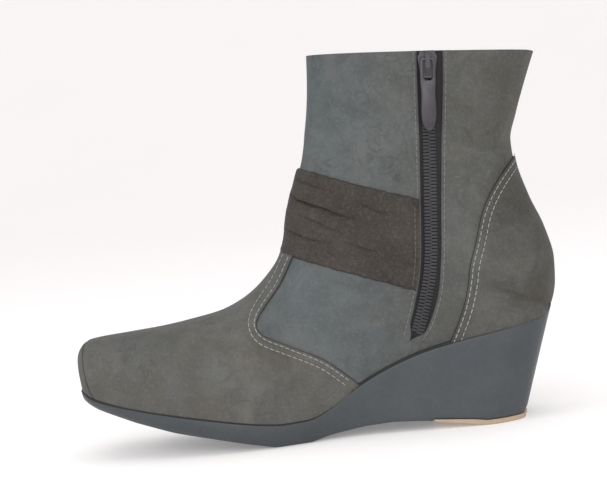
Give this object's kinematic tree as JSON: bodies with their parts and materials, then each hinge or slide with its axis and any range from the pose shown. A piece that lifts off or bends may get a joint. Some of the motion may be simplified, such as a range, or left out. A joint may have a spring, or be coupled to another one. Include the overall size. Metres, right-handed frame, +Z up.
{
  "type": "wedge ankle boot",
  "caption": "Right ankle boot with a square toe, side zip, gathered band and buttoned straps on a wedge sole.",
  "frame": {"origin": "middle of the boot's box at floor level", "axes": "+Z up from the floor, -X towards the toe, -Y towards the inner side of the foot, where the zip is"},
  "size_m": [0.2602, 0.0879, 0.2035],
  "materials": {
    "leather": "nubuck leather in a mottled mid grey",
    "suede": "napped suede in dark brown grey",
    "sole_rubber": "smooth satin blue-grey unit sole",
    "lift_rubber": "tan heel lift",
    "lining": "dark cloth lining",
    "gusset_cloth": "maroon elastic cloth",
    "zip_tape": "near-black woven tape",
    "zip_teeth": "black moulded coil",
    "gold": "polished gold-coloured metal",
    "pale_metal": "pale cream-coloured metal",
    "dark_metal": "dark grey lacquered metal"
  },
  "bodies": {
    "boot": {"wedge_sole": "sole_rubber", "heel_lift": "lift_rubber", "insole": "lining", "upper": "leather", "toe_piece": "leather", "vamp": "leather", "counter": "leather", "band": "suede", "band_loop": "leather", "collar_strap": "leather", "gusset": "gusset_cloth", "zip_tape": "zip_tape", "zip_chain": "zip_teeth", "loop_stud": "gold", "strap_stud": "gold", "strap_keeper": "pale_metal", "zip_slider": "dark_metal"},
    "pull": {"zip_pull": "dark_metal"}
  },
  "joints": [
    {"name": "pull_swing", "type": "hinge", "parent": "boot", "child": "pull", "pos_m": [0.07022, -0.03653, 0.19418], "axis": [-0.9981, 0.0015, 0.0611], "range_deg": [0, 165]}
  ]
}
